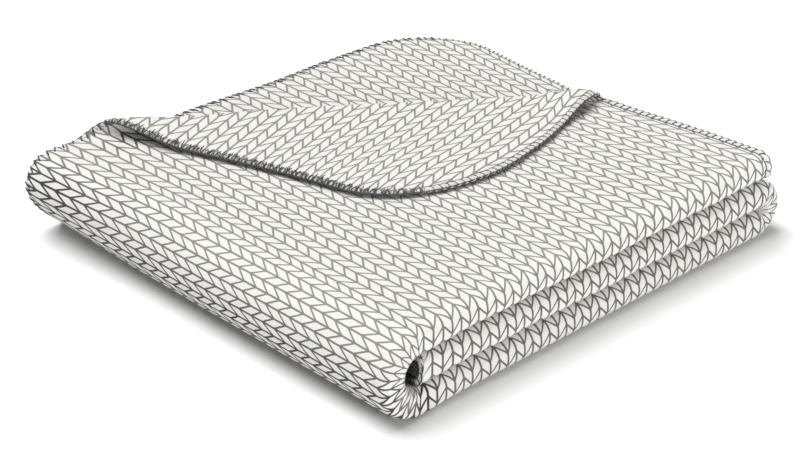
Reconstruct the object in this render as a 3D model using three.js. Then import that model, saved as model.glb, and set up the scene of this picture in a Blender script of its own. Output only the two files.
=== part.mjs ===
// A throw blanket as it lies folded: one cloth, halved twice along its length,
// then folded in three across its width, with one corner of the top layer turned over.
// Sizes are in millimetres and +Z is up. The pack lies on the plane Z = 0,
// with the middle of its footprint at X = 0, Y = 0.
import * as THREE from "three";
import { mergeVertices } from "three/addons/utils/BufferGeometryUtils.js";

// The cloth, and the air between two layers that lie on each other.
const CLOTH = { thickness: 5, gap: 1.4, cornerRadius: 96, secondCornerRadius: 75 };

// The flat panels between the folds. The top panel is the one in view:
// its depth runs along the cloth's length, and its width across it.
// The inner panel reaches a little way into the round fold.
const TOP_PANEL = { width: 381.5, depth: 401 };
const BOTTOM_PANEL_WIDTH = 376.5;
const INNER_PANEL_REACH = 3;

// How far the second layer's cut edge, and then the first fold, stay behind the top layer's edge.
const SECOND_EDGE_SETBACK = 20;
const FIRST_FOLD_SETBACK = 6;

// The turned corner: a point on its fold line, the line's angle to +X, and its loop's radius.
// Ranges of distance along the line say where the loop is wider, and pinched at its right end,
// and where the line bends nearer at its left end.
const TURNED = {
  middle: { x: 232.9, y: 246.7 },
  angle: THREE.MathUtils.degToRad(-36.5),
  radius: 4,
  rightRadius: 7,
  rightSwell: [95, 145],
  rightPinch: [148, 170],
  leftRadius: 8,
  leftSwell: [170, 245],
  endSlip: 7,
  leftNearer: 3.5,
  leftNearerRise: [110, 240],
};

// The turned cloth comes down from its loop to rest on the top panel, at this height between middles.
// Near the loop's right end it comes down over a shorter distance.
const RESTING = {
  height: 6.6,
  distance: 85,
  rightShorter: 40,
  rightRise: [60, 130],
  stops: [0.25, 0.5, 0.75, 1],
};

// How the top layer lies askew: its side edge leans in, and out a little near the rolled front
// and on the turned corner, and its back edge dips beside the round fold.
const TOP_ASKEW = {
  lean: 0.094,
  leanFrom: -15,
  leanWidth: 240,
  swell: 4.5,
  swellFades: [30, 150],
  cornerSwell: 4,
  cornerSwellRise: [140, 175],
  cornerSwellFades: [285, 345],
  dip: 3.5,
  dipRise: [-50, 10],
  dipFall: [40, 110],
  dipDepth: [200, TOP_PANEL.depth],
};

// How the second layer lies askew near its own corner.
const SECOND_ASKEW = {
  shift: 14,
  shiftFades: [230, 380],
  lean: 0.065,
  leanFrom: 180,
  slant: 0.069,
  slantFrom: 97,
  slantFades: [0, 200],
  bulge: 3,
  bulgeAt: 280,
  bulgeFades: [15, 90],
};

// How far the hidden layers and the first fold stay inside the second layer's round corner,
// and the two lower packs' cut ends inside the top pack's.
const HIDDEN_ASKEW = {
  lean: 52,
  leanFades: [5, 300],
  sideFades: [0, 300],
  foldSetback: 6,
  foldFades: [0, 200],
  foldRise: 100,
  setback: 26,
  setbackFades: [0, 250],
  lowerPacks: [500, 700],
};

// The rolled front is pressed a little square, and more so beside the round fold.
// It stays as far forward as a round one, so it is moved by a share of its squareness.
const PRESSED = { square: 0.12, squareAtFold: 0.45, fades: [-5, 45], forward: 5.2, frontFades: [-5, 60] };

// The inner panel's rolled front is pushed a little further into the round fold.
// The ranges are distances from the inner edge, and from the middle of the roll.
const PUSHED_OUT = { reach: 5, insideRise: [-60, -5], depthFades: [3, 15] };

// The back folds of the two lower packs swell out at the rolled front.
const SWOLLEN = { reach: 3.5, depths: [-20, 70], sides: [340, 400], rises: [5, 25], fades: [40, 62] };

// How the back end of the round fold has settled: the share of height that it lost or, on its round side,
// gained, how far its upper half bulges out and its shoulder further, and how far its foot draws in.
const SETTLED = {
  share: 0.05,
  shareRises: [-40, 5],
  shareFades: [-10, 130],
  gained: 0.035,
  gainedFades: [-30, 0],
  bulge: 8,
  footIn: 4,
  heights: [5, 50],
  shoulder: 5,
  shoulderHeights: [55, 75],
  sideFades: [-35, 20],
  depths: [250, TOP_PANEL.depth],
};

// Every layer is divided at the same places over the panels, so the layers stay apart.
const DEPTH_STOPS = [0, 100, 200, 250, 290, 330, 375];
const TOP_WIDTH_STOPS = [180, 230, 280, 330];
const WIDTH_STOPS = [43, 86, 130];
const STEPS = { wideFold: 12, backFold: 10, roll: 8, firstFold: 6, corner: 6, turned: 8 };

// Four layers make one pack, and three packs lie on each other.
const { thickness, gap } = CLOTH;
const HALVED_DEPTH = 2 * thickness + gap;
const PACK_DEPTH = 2 * HALVED_DEPTH + gap;
const TUNNEL_RADIUS = PACK_DEPTH / 2 + gap;
const HEIGHT = 3 * PACK_DEPTH + 2 * gap;

// A fold turns what lies past it under what lies before it, round an axis under a stack of that depth.
// Its outermost layer keeps its length, which sets the length of cloth in the bend.
function makeFold(at, depth, radius) {
  const bend = Math.PI * (depth + radius - thickness / 2);
  return { at, axis: -(depth + radius), bend, end: at + bend };
}

const roll = makeFold(TOP_PANEL.depth, HALVED_DEPTH, gap / 2);
const firstFold = makeFold(
  roll.end + TOP_PANEL.depth - SECOND_EDGE_SETBACK - FIRST_FOLD_SETBACK,
  thickness,
  gap / 2,
);
const wideFold = makeFold(TOP_PANEL.width, PACK_DEPTH, TUNNEL_RADIUS);
const backFold = makeFold(wideFold.end + BOTTOM_PANEL_WIDTH, PACK_DEPTH, gap / 2);

// The whole cloth, laid flat.
const LENGTH = firstFold.at + firstFold.end - SECOND_EDGE_SETBACK;
const WIDTH = backFold.end + BOTTOM_PANEL_WIDTH + INNER_PANEL_REACH;

const rising = (value, [from, to]) => THREE.MathUtils.smoothstep(value, from, to);
const fading = (value, range) => 1 - rising(value, range);

// The bend is half a circle, or more like three sides of a square with round corners.
function foldUnder(along, height, { at, axis, bend }, squareness = 0) {
  const turn = Math.PI * THREE.MathUtils.clamp((along - at) / bend, 0, 1);
  const reach = height - axis;
  const straight = Math.min(along, at) - Math.max(along - at - bend, 0);
  const roundness = 1 - squareness;
  const leadIn = (Math.PI / 2 - 1) * squareness;
  const fromSide = Math.min(turn, Math.PI - turn);
  const angle = THREE.MathUtils.clamp((fromSide - leadIn) / roundness, 0, Math.PI / 2);
  const outward = Math.min(fromSide, leadIn) + roundness * Math.sin(angle);
  const face = Math.max(fromSide - leadIn - (roundness * Math.PI) / 2, 0);
  const up = squareness + roundness * Math.cos(angle) - face;
  return [straight + reach * outward, axis + reach * (turn > Math.PI / 2 ? -up : up)];
}

// How square the rolled front is at an x of the folded blanket.
const squareAt = (x) =>
  THREE.MathUtils.lerp(PRESSED.square, PRESSED.squareAtFold, fading(x, PRESSED.fades));

// The x of a place across the cloth once it is folded in three.
function foldedX(across) {
  const top = TOP_PANEL.width - Math.min(across, wideFold.at);
  const bottom = THREE.MathUtils.clamp(across - wideFold.end, 0, BOTTOM_PANEL_WIDTH);
  return top + bottom - Math.max(across - backFold.end, 0);
}

// A place on the flat cloth is { down, across }: its distances from the two cut edges that meet
// in the turned corner. Seen from above, x and y grow towards that corner.
const toPlan = ({ down, across }) => ({ x: TOP_PANEL.width - across, y: TOP_PANEL.depth - down });
const fromPlan = ({ x, y }) => ({ down: TOP_PANEL.depth - y, across: TOP_PANEL.width - x });

// The small slips of the layers in their own plane.
function askew(place) {
  const plan = toPlan(place);
  const nearSide = fading(place.across, [0, TOP_ASKEW.leanWidth]);
  const fromEdge = LENGTH - place.down;
  const secondY = TOP_PANEL.depth - SECOND_EDGE_SETBACK - fromEdge;
  const { x, y } = plan;
  plan.x += TOP_ASKEW.swell * fading(Math.abs(y), TOP_ASKEW.swellFades) * nearSide;
  const onCorner = rising(y, TOP_ASKEW.cornerSwellRise) * fading(y, TOP_ASKEW.cornerSwellFades);
  plan.x += TOP_ASKEW.cornerSwell * onCorner * nearSide;
  if (plan.y > TOP_ASKEW.leanFrom) {
    const dip = rising(x, TOP_ASKEW.dipRise) * fading(x, TOP_ASKEW.dipFall);
    plan.x -= TOP_ASKEW.lean * (y - TOP_ASKEW.leanFrom) * nearSide;
    plan.y -= TOP_ASKEW.dip * dip * rising(y, TOP_ASKEW.dipDepth);
  }
  const leant = SECOND_ASKEW.shift - SECOND_ASKEW.lean * Math.max(secondY - SECOND_ASKEW.leanFrom, 0);
  const slanted = SECOND_ASKEW.slant * Math.max(x - SECOND_ASKEW.slantFrom, 0);
  const bulged = SECOND_ASKEW.bulge * fading(Math.abs(x - SECOND_ASKEW.bulgeAt), SECOND_ASKEW.bulgeFades);
  plan.x -= fading(fromEdge, SECOND_ASKEW.shiftFades) * nearSide * leant;
  plan.y += fading(fromEdge, SECOND_ASKEW.slantFades) * (slanted - bulged);
  const fromFirstFold = Math.abs(place.down - firstFold.at - firstFold.bend / 2);
  const hidden = fading(fromFirstFold, HIDDEN_ASKEW.leanFades) * fading(place.across, HIDDEN_ASKEW.sideFades);
  const lower = fading(place.down, HIDDEN_ASKEW.setbackFades) * rising(place.across, HIDDEN_ASKEW.lowerPacks);
  const fromRollMiddle = Math.abs(place.down - roll.at - roll.bend / 2);
  const atInnerEnd = rising(place.across - WIDTH, PUSHED_OUT.insideRise);
  plan.x -= PUSHED_OUT.reach * atInnerEnd * fading(fromRollMiddle, PUSHED_OUT.depthFades);
  plan.x -= HIDDEN_ASKEW.lean * hidden;
  plan.y -= HIDDEN_ASKEW.setback * lower;
  return fromPlan(plan);
}

// Where a place lies from the turned corner's fold: along the fold line, and past the start of its loop.
const foldLine = { x: Math.cos(TURNED.angle), y: Math.sin(TURNED.angle) };
const foldNormal = { x: -foldLine.y, y: foldLine.x };

function fromFoldLine(place) {
  const { x, y } = toPlan(place);
  const dx = x - TURNED.middle.x;
  const dy = y - TURNED.middle.y;
  const along = dx * foldLine.x + dy * foldLine.y;
  const atRight = rising(along, TURNED.rightSwell) * fading(along, TURNED.rightPinch);
  const radius =
    TURNED.radius +
    (TURNED.rightRadius - TURNED.radius) * atRight +
    (TURNED.leftRadius - TURNED.radius) * rising(-along, TURNED.leftSwell);
  const nearer = TURNED.leftNearer * rising(-along, TURNED.leftNearerRise);
  const past = dx * foldNormal.x + dy * foldNormal.y + (Math.PI * radius) / 2 + nearer;
  return { along, radius, past };
}

// Turns the corner of the top layer over. The offset is the distance above the cloth's middle.
function turnCorner(place, offset) {
  const { along, radius, past } = fromFoldLine(place);
  const onTop = place.down < roll.at && place.across < wideFold.at;
  if (!onTop || past <= 0) return { ...place, rise: offset };
  const turn = Math.min(past / radius, Math.PI);
  const beyond = Math.max(past - Math.PI * radius, 0);
  const back = (radius - offset) * Math.sin(turn) - beyond - past;
  const slip = TURNED.endSlip * (turn / Math.PI) * rising(along, TURNED.rightSwell);
  const shorter = RESTING.rightShorter * rising(along, RESTING.rightRise);
  const resting = rising(beyond, [0, RESTING.distance - shorter]);
  const rise =
    beyond > 0
      ? THREE.MathUtils.lerp(2 * radius, RESTING.height, resting) - offset
      : radius - (radius - offset) * Math.cos(turn);
  const { x, y } = toPlan(place);
  const moved = fromPlan({
    x: x + back * foldNormal.x - slip * foldLine.x,
    y: y + back * foldNormal.y - slip * foldLine.y,
  });
  return { ...moved, rise };
}

// The back end of the round fold is pressed lower and wider than the rest,
// and the rolled front stands forward by its squareness.
function settle(point) {
  const end = rising(point.y, SETTLED.depths);
  const share = SETTLED.share * rising(point.x, SETTLED.shareRises) * fading(point.x, SETTLED.shareFades);
  const lost = end * (share - SETTLED.gained * fading(point.x, SETTLED.gainedFades));
  const push =
    (SETTLED.bulge + SETTLED.footIn) * rising(point.z, SETTLED.heights) -
    SETTLED.footIn +
    SETTLED.shoulder * rising(point.z, SETTLED.shoulderHeights);
  const swollen =
    fading(point.y, SWOLLEN.depths) *
    rising(point.x, SWOLLEN.sides) *
    rising(point.z, SWOLLEN.rises) *
    fading(point.z, SWOLLEN.fades);
  point.y -= PRESSED.forward * squareAt(point.x) * fading(point.y, PRESSED.frontFades);
  point.x += SWOLLEN.reach * swollen - push * end * fading(point.x, SETTLED.sideFades);
  point.z *= 1 - lost;
  return point;
}

// A place on the flat cloth, and its offset from the cloth's middle, as a point of the folded blanket.
function folded(place, offset) {
  const turned = turnCorner(place, offset);
  let along = turned.down;
  let across = turned.across;
  let height = turned.rise - thickness / 2;
  [along, height] = foldUnder(along, height, firstFold);
  const setback =
    fading(across, HIDDEN_ASKEW.foldFades) *
    rising(along, [roll.end + HIDDEN_ASKEW.foldRise, firstFold.at]);
  along -= HIDDEN_ASKEW.foldSetback * setback;
  [along, height] = foldUnder(along, height, roll, squareAt(foldedX(across)));
  [across, height] = foldUnder(across, height, backFold);
  [across, height] = foldUnder(across, height, wideFold);
  const { x, y } = toPlan({ down: along, across });
  return settle(new THREE.Vector3(x, y, HEIGHT + height));
}

// Positions along a bend, and along a panel that starts or ends at one.
const bendStops = ({ at, bend }, steps) =>
  Array.from({ length: steps + 1 }, (_, i) => at + (bend * i) / steps);
const panelStops = (from, direction, stops) => stops.map((stop) => from + direction * stop);
const inOrder = (list) => [...new Set(list)].sort((a, b) => a - b);

const acrossStations = inOrder([
  0,
  ...panelStops(TOP_PANEL.width, -1, [...WIDTH_STOPS, ...TOP_WIDTH_STOPS]),
  ...bendStops(wideFold, STEPS.wideFold),
  ...panelStops(wideFold.end, 1, WIDTH_STOPS),
  ...bendStops(backFold, STEPS.backFold),
  ...panelStops(backFold.end + BOTTOM_PANEL_WIDTH, -1, WIDTH_STOPS),
  WIDTH,
]);

// Past the first fold the cloth comes back through the roll, so the roll is met a second time.
const mirrored = (down) => firstFold.at + firstFold.end - down;
const halfStations = [
  ...panelStops(TOP_PANEL.depth, -1, DEPTH_STOPS),
  ...bendStops(roll, STEPS.roll),
  ...panelStops(roll.end, 1, DEPTH_STOPS.slice(1, -1)),
];
const downStations = inOrder([
  0,
  ...halfStations,
  ...bendStops(firstFold, STEPS.firstFold),
  ...halfStations.map(mirrored),
  LENGTH,
]);

// Cuts a convex polygon of places where a measure changes sign.
function split(polygon, measure) {
  const below = [];
  const above = [];
  polygon.forEach((place, i) => {
    const next = polygon[(i + 1) % polygon.length];
    const here = measure(place);
    const there = measure(next);
    if (here <= 0) below.push(place);
    if (here >= 0) above.push(place);
    if (here * there < 0) {
      const share = here / (here - there);
      const cut = {
        down: THREE.MathUtils.lerp(place.down, next.down, share),
        across: THREE.MathUtils.lerp(place.across, next.across, share),
      };
      below.push(cut);
      above.push(cut);
    }
  });
  return { below, above };
}

// The straight cuts that round one corner of the cloth.
function cornerCuts(cornerDown, cornerAcross, radius) {
  const signDown = cornerDown > 0 ? -1 : 1;
  const signAcross = cornerAcross > 0 ? -1 : 1;
  const centre = { down: cornerDown + signDown * radius, across: cornerAcross + signAcross * radius };
  return Array.from({ length: STEPS.corner }, (_, i) => {
    const angle = (((i + 0.5) / STEPS.corner) * Math.PI) / 2;
    const toward = { down: -signDown * Math.cos(angle), across: -signAcross * Math.sin(angle) };
    const reach = radius * Math.cos(Math.PI / 4 / STEPS.corner);
    return ({ down, across }) =>
      (down - centre.down) * toward.down + (across - centre.across) * toward.across - reach;
  });
}

const outlineCuts = [
  ...cornerCuts(0, 0, CLOTH.cornerRadius),
  ...cornerCuts(0, WIDTH, CLOTH.cornerRadius),
  ...cornerCuts(LENGTH, 0, CLOTH.secondCornerRadius),
  ...cornerCuts(LENGTH, WIDTH, CLOTH.cornerRadius),
];

// The lines that follow the turned corner's loop, and its way down to rest.
const loopTurns = Array.from({ length: STEPS.turned + 1 }, (_, i) => (Math.PI * i) / STEPS.turned);
const turnedCuts = [
  ...loopTurns.map((turn) => (place) => {
    const { radius, past } = fromFoldLine(place);
    return past - turn * radius;
  }),
  ...RESTING.stops.map((share) => (place) => {
    const { radius, past } = fromFoldLine(place);
    return past - Math.PI * radius - share * RESTING.distance;
  }),
];

// The flat cloth as convex polygons: the grid's cells, rounded at the corners
// and cut along the turned corner's lines.
function flatPolygons() {
  const polygons = [];
  const keep = (polygon) => {
    if (polygon.length > 2) polygons.push(polygon);
  };
  for (let i = 0; i + 1 < downStations.length; i += 1) {
    for (let j = 0; j + 1 < acrossStations.length; j += 1) {
      const [d0, d1] = [downStations[i], downStations[i + 1]];
      const [a0, a1] = [acrossStations[j], acrossStations[j + 1]];
      let cell = [
        { down: d0, across: a0 },
        { down: d0, across: a1 },
        { down: d1, across: a1 },
        { down: d1, across: a0 },
      ];
      for (const cut of outlineCuts) cell = split(cell, cut).below;
      let rest = cell.map(askew);
      if (d1 <= roll.at && a1 <= wideFold.at) {
        for (const cut of turnedCuts) {
          const { below, above } = split(rest, cut);
          keep(below);
          rest = above;
        }
      }
      keep(rest);
    }
  }
  return polygons;
}

// Both faces of every polygon, and a rim along each side that no neighbour shares.
function clothGeometry() {
  const key = ({ down, across }) => `${down.toFixed(4)},${across.toFixed(4)}`;
  const sides = new Map();
  const corners = [];
  const half = thickness / 2;
  for (const polygon of flatPolygons()) {
    for (let i = 1; i + 1 < polygon.length; i += 1) {
      const triangle = [polygon[0], polygon[i], polygon[i + 1]];
      corners.push(...triangle.map((place) => folded(place, half)));
      corners.push(...triangle.reverse().map((place) => folded(place, -half)));
    }
    polygon.forEach((place, i) => {
      const next = polygon[(i + 1) % polygon.length];
      const back = `${key(next)};${key(place)}`;
      if (sides.has(back)) sides.delete(back);
      else sides.set(`${key(place)};${key(next)}`, [place, next]);
    });
  }
  for (const [place, next] of sides.values()) {
    const [a, b] = [folded(place, half), folded(next, half)];
    const [c, d] = [folded(next, -half), folded(place, -half)];
    corners.push(a, d, c, a, c, b);
  }
  return mergeVertices(new THREE.BufferGeometry().setFromPoints(corners), 1e-3);
}

const geometry = clothGeometry();
geometry.computeBoundingBox();
const middle = geometry.boundingBox.getCenter(new THREE.Vector3());
geometry.translate(-middle.x, -middle.y, -geometry.boundingBox.min.z);
geometry.computeVertexNormals();

const material = new THREE.MeshStandardMaterial({ color: 0xd6d4ce, roughness: 0.9, metalness: 0 });
const blanket = new THREE.Mesh(geometry, material);
blanket.name = "blanket";

const root = new THREE.Group();
root.add(blanket);
export default root;
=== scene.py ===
# %% [markdown]
# A folded throw blanket
#
# The real object is one large soft cloth with rounded corners. It is printed on both sides with a grey
# herringbone, and a thick dark yarn is worked over its edge all the way round. It was halved twice along
# its length, folded in three across its width, and one corner of the top layer was turned over.
# This lesson builds it the way it was made: first the flat cloth, then the folds. Because every piece is
# first described on the flat cloth, the print, the edge and the stitches all fold with it. In every
# function, the numbers in rising() and fading() say where on the cloth an effect begins and ends, in
# millimetres.

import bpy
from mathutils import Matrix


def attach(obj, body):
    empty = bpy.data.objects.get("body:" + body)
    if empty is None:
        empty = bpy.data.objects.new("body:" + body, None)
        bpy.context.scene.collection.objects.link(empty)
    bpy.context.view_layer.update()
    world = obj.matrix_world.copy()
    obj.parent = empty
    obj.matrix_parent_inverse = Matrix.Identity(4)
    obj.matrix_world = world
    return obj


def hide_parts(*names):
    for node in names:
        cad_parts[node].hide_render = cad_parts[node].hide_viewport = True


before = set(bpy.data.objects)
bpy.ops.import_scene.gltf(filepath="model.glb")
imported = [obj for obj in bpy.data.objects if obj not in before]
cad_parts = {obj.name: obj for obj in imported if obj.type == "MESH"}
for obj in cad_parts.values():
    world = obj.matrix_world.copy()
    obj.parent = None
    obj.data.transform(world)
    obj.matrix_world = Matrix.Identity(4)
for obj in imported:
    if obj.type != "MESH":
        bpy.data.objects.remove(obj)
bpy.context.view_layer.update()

# %% [markdown]
# The sizes of the cloth
#
# A fold takes up cloth: the more layers it goes round, the more. So the flat size follows from the folded
# one. Each fold is described by where it starts, the height of the line that it turns round, and the
# length of cloth in the bend. These are the same sizes as in the CAD model, in millimetres.

# %% Cloth and folds in millimetres
import math

import bpy
import numpy as np
from mathutils import Vector

THICKNESS = 5.0
AIR = 1.4
TOP_WIDTH = 381.5
TOP_DEPTH = 401.0
BOTTOM_WIDTH = 376.5
INNER_REACH = 3.0
SECOND_SETBACK = 20.0
FIRST_FOLD_SETBACK = 6.0
HALVED = 2 * THICKNESS + AIR
PACK = 2 * HALVED + AIR
TUNNEL_RADIUS = PACK / 2 + AIR
HEIGHT = 3 * PACK + 2 * AIR
FOOTPRINT_MIDDLE = (180.08, 194.42)


def make_fold(at, depth, radius):
    """A fold that starts at a place on the cloth and turns under a stack of that depth."""
    bend = math.pi * (depth + radius - THICKNESS / 2)
    return {"at": at, "axis": -(depth + radius), "bend": bend, "end": at + bend}


ROLL = make_fold(TOP_DEPTH, HALVED, AIR / 2)
FIRST_FOLD = make_fold(ROLL["end"] + TOP_DEPTH - SECOND_SETBACK - FIRST_FOLD_SETBACK, THICKNESS, AIR / 2)
WIDE_FOLD = make_fold(TOP_WIDTH, PACK, TUNNEL_RADIUS)
BACK_FOLD = make_fold(WIDE_FOLD["end"] + BOTTOM_WIDTH, PACK, AIR / 2)
LENGTH = FIRST_FOLD["at"] + FIRST_FOLD["end"] - SECOND_SETBACK
WIDTH = BACK_FOLD["end"] + BOTTOM_WIDTH + INNER_REACH
print(f"The flat cloth is {WIDTH:.0f} x {LENGTH:.0f} mm, and {HEIGHT:.0f} mm high when folded")

# %% [markdown]
# Folding as arithmetic
#
# A cloth simulation could fold the cloth, but it is slow and it never lands in exactly the same folds.
# Here each fold is a small formula instead. It takes a place on the flat cloth, down and across from the
# corner that is turned over, and a height above the middle of the cloth. It wraps that place round the
# line of the fold. One formula after another folds the whole blanket, with no layer passing through
# another.


# %% One straight fold
def rising(value, start, end):
    """0 before start and 1 after end, with a soft change between them."""
    share = np.clip((value - start) / (end - start), 0, 1)
    return share * share * (3 - 2 * share)


def fading(value, start, end):
    return 1 - rising(value, start, end)


def fold_under(along, height, fold, squareness=0.0):
    """Wraps what lies past the start of a fold under what lies before it.

    The bend is half a circle, or more like three sides of a square with round corners."""
    turn = np.pi * np.clip((along - fold["at"]) / fold["bend"], 0, 1)
    reach = height - fold["axis"]
    straight = np.minimum(along, fold["at"]) - np.maximum(along - fold["end"], 0)
    roundness = 1 - squareness
    lead_in = (np.pi / 2 - 1) * squareness
    from_side = np.minimum(turn, np.pi - turn)
    angle = np.clip((from_side - lead_in) / roundness, 0, np.pi / 2)
    outward = np.minimum(from_side, lead_in) + roundness * np.sin(angle)
    face = np.maximum(from_side - lead_in - roundness * np.pi / 2, 0)
    up = squareness + roundness * np.cos(angle) - face
    return straight + reach * outward, fold["axis"] + reach * np.where(turn > np.pi / 2, -up, up)


half_way, half_height = fold_under(ROLL["at"] + ROLL["bend"] / 2, 0.0, ROLL)
print(f"The roll bulges out to {half_way:.1f} mm, {-half_height:.1f} mm below the top")

# %% How square the rolled front is
FRONT_SQUARENESS = 0.12
CORNER_SQUARENESS = 0.33


def pressed_square(x):
    """0 for a round front and 1 for a square one: it is pressed flat beside the round fold."""
    return FRONT_SQUARENESS + CORNER_SQUARENESS * fading(x, -5, 45)


def folded_x(across):
    """The x of a place across the cloth once it is folded in three."""
    top = TOP_WIDTH - np.minimum(across, WIDE_FOLD["at"])
    bottom = np.clip(across - WIDE_FOLD["end"], 0, BOTTOM_WIDTH)
    return top + bottom - np.maximum(across - BACK_FOLD["end"], 0)


print(f"Once folded, x runs from {folded_x(WIDE_FOLD['at']):.1f} to {folded_x(0.0):.1f} mm")


# %% [markdown]
# A hand-folded look
#
# Nobody folds a blanket perfectly. The side edge of the top layer leans in, the second layer shows beyond
# it at the back, and the back end of the round fold is pressed a little flatter than the rest. These small
# slips are added to the formulas, so that the stack looks laid down by hand.


# %% How the layers lie askew
SLIP_START = -15.0
SIDE_SLOPE = 0.094
FRONT_SWELL = 4.5
CORNER_SWELL = 4.0
BACK_DIP = 3.5
SECOND_SHIFT = 14.0
SECOND_SLOPE = 0.065
SECOND_SLANT = 0.069
SECOND_SAG = 3.0
HIDDEN_LEAN = 52.0
LOWER_SETBACK = 26.0
ROLLED_END_PUSH = 5.0


def slip_askew(down, across):
    """The small slips of the layers in their own plane, as new places down and across."""
    x, y = TOP_WIDTH - across, TOP_DEPTH - down
    near_side = fading(across, 0, 240)
    behind_front = y > SLIP_START
    beside_corner = rising(y, 140, 175) * fading(y, 285, 345)
    swell = FRONT_SWELL * fading(abs(y), 30, 150) + CORNER_SWELL * beside_corner
    lean = np.where(behind_front, -SIDE_SLOPE * (y - SLIP_START), 0) + swell
    dip = BACK_DIP * rising(x, -50, 10) * fading(x, 40, 110) * rising(y, 200, TOP_DEPTH)

    from_edge = LENGTH - down
    second_y = TOP_DEPTH - SECOND_SETBACK - from_edge
    second_lean = SECOND_SHIFT - SECOND_SLOPE * np.maximum(second_y - 180, 0)
    second_shift = fading(from_edge, 230, 380) * near_side * second_lean
    sag = SECOND_SAG * fading(abs(x - 280), 15, 90)
    second_slant = fading(from_edge, 0, 200) * (SECOND_SLANT * np.maximum(x - 97, 0) - sag)

    from_first_fold = abs(down - FIRST_FOLD["at"] - FIRST_FOLD["bend"] / 2)
    hidden_lean = HIDDEN_LEAN * fading(from_first_fold, 5, 300) * fading(across, 0, 300)
    lower_setback = LOWER_SETBACK * fading(down, 0, 250) * rising(across, 500, 700)
    from_roll_middle = abs(down - ROLL["at"] - ROLL["bend"] / 2)
    rolled_end = rising(across - WIDTH, -60, -5) * fading(from_roll_middle, 3, 15)

    shift_x = lean * near_side - second_shift - hidden_lean - ROLLED_END_PUSH * rolled_end
    shift_y = np.where(behind_front, -dip, 0) + second_slant - lower_setback
    return down - shift_y, across - shift_x


print(f"100 mm from the back, the side edge leans in by {slip_askew(100.0, 0.0)[1]:.1f} mm")

# %% How the stack settles
PRESSED_WIDER = 12.0
PRESSED_FOOT = 4.0
TOP_OVERHANG = 5.0
FRONT_SWOLLEN = 3.5
PRESSED_LOWER = 0.05
FOLD_RAISED = 0.035
SQUARE_SETBACK = 5.2
RIPPLE = 0.35
WAVE = 0.45


def settle(x, y, z):
    """The back end of the round fold is pressed lower and wider, and the whole stack is uneven."""
    at_back = rising(y, 250, TOP_DEPTH)
    push = PRESSED_WIDER * rising(z, 5, 50) - PRESSED_FOOT + TOP_OVERHANG * rising(z, 55, 75)
    right_front = fading(y, -20, 70) * rising(x, 340, 400)
    swollen = FRONT_SWOLLEN * right_front * rising(z, 5, 25) * fading(z, 40, 62)
    settled_x = x - push * at_back * fading(x, -35, 20) + swollen
    lost = PRESSED_LOWER * fading(x, -10, 130) * rising(x, -40, 5) - FOLD_RAISED * fading(x, -30, 0)
    settled_z = z * (1 - at_back * lost)
    ripple = np.sin(x / 21 + z / 17) + np.sin(x / 9.5 + 2)
    rippled = RIPPLE * ripple * fading(y, -5, 30) * rising(z, 0, 10)
    settled_y = y - SQUARE_SETBACK * pressed_square(x) * fading(y, -5, 60) + rippled
    broad = np.sin(x / 43 + 0.9 * np.sin(y / 37)) * np.sin(y / 31 + 1.3)
    wave = broad + 0.5 * np.sin(x / 19 + y / 27)
    return settled_x, settled_y, np.maximum(settled_z + WAVE * wave * z / HEIGHT, 0)


print(f"The back end of the round fold settles to {settle(0.0, TOP_DEPTH, HEIGHT)[2]:.1f} mm high")

# %% [markdown]
# The turned corner
#
# One corner of the top layer is lifted and laid back over the blanket, so its underside shows. Its fold is
# a loose loop along a slanting line: tight in the middle, and wider where the loop opens at its ends. Past
# the loop the cloth comes down gently until it rests on the layer below.

# %% The loop of the turned corner
LOOP_MIDDLE = (232.9, 246.7)
LOOP_ANGLE = math.radians(-36.5)
LOOP_LINE = (math.cos(LOOP_ANGLE), math.sin(LOOP_ANGLE))
LOOP_NORMAL = (-LOOP_LINE[1], LOOP_LINE[0])
LOOP_RADIUS = 4.0
RIGHT_WIDER = 3.0
LEFT_WIDER = 4.0
LEFT_NEARER = 3.5
LOOP_SLIP = 7.0
REST_HEIGHT = 6.6
REST_DISTANCE = 85.0
RIGHT_SHORTER = 40.0


def loop_at(down, across):
    """The place along the loop, the loop's radius there, and the distance past its start."""
    dx = TOP_WIDTH - across - LOOP_MIDDLE[0]
    dy = TOP_DEPTH - down - LOOP_MIDDLE[1]
    along = dx * LOOP_LINE[0] + dy * LOOP_LINE[1]
    right_end = rising(along, 95, 145) * fading(along, 148, 170)
    radius = LOOP_RADIUS + RIGHT_WIDER * right_end + LEFT_WIDER * rising(-along, 170, 245)
    nearer = LEFT_NEARER * rising(-along, 110, 240)
    return along, radius, dx * LOOP_NORMAL[0] + dy * LOOP_NORMAL[1] + np.pi * radius / 2 + nearer


def turn_corner(down, across, offset):
    """Lays the corner of the top layer over, and gives the height of the cloth's face there."""
    along, radius, past = loop_at(down, across)
    turned = (down < ROLL["at"]) & (across < WIDE_FOLD["at"]) & (past > 0)
    turn = np.clip(past / radius, 0, np.pi)
    beyond = np.maximum(past - np.pi * radius, 0)
    back = (radius - offset) * np.sin(turn) - beyond - past
    slip = LOOP_SLIP * (turn / np.pi) * rising(along, 95, 145)
    resting = rising(beyond, 0, REST_DISTANCE - RIGHT_SHORTER * rising(along, 60, 130))
    laid = 2 * radius + (REST_HEIGHT - 2 * radius) * resting - offset
    height = np.where(beyond > 0, laid, radius - (radius - offset) * np.cos(turn))
    dx = back * LOOP_NORMAL[0] - slip * LOOP_LINE[0]
    dy = back * LOOP_NORMAL[1] - slip * LOOP_LINE[1]
    return (
        np.where(turned, down - dy, down),
        np.where(turned, across - dx, across),
        np.where(turned, height, offset),
    )


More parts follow.
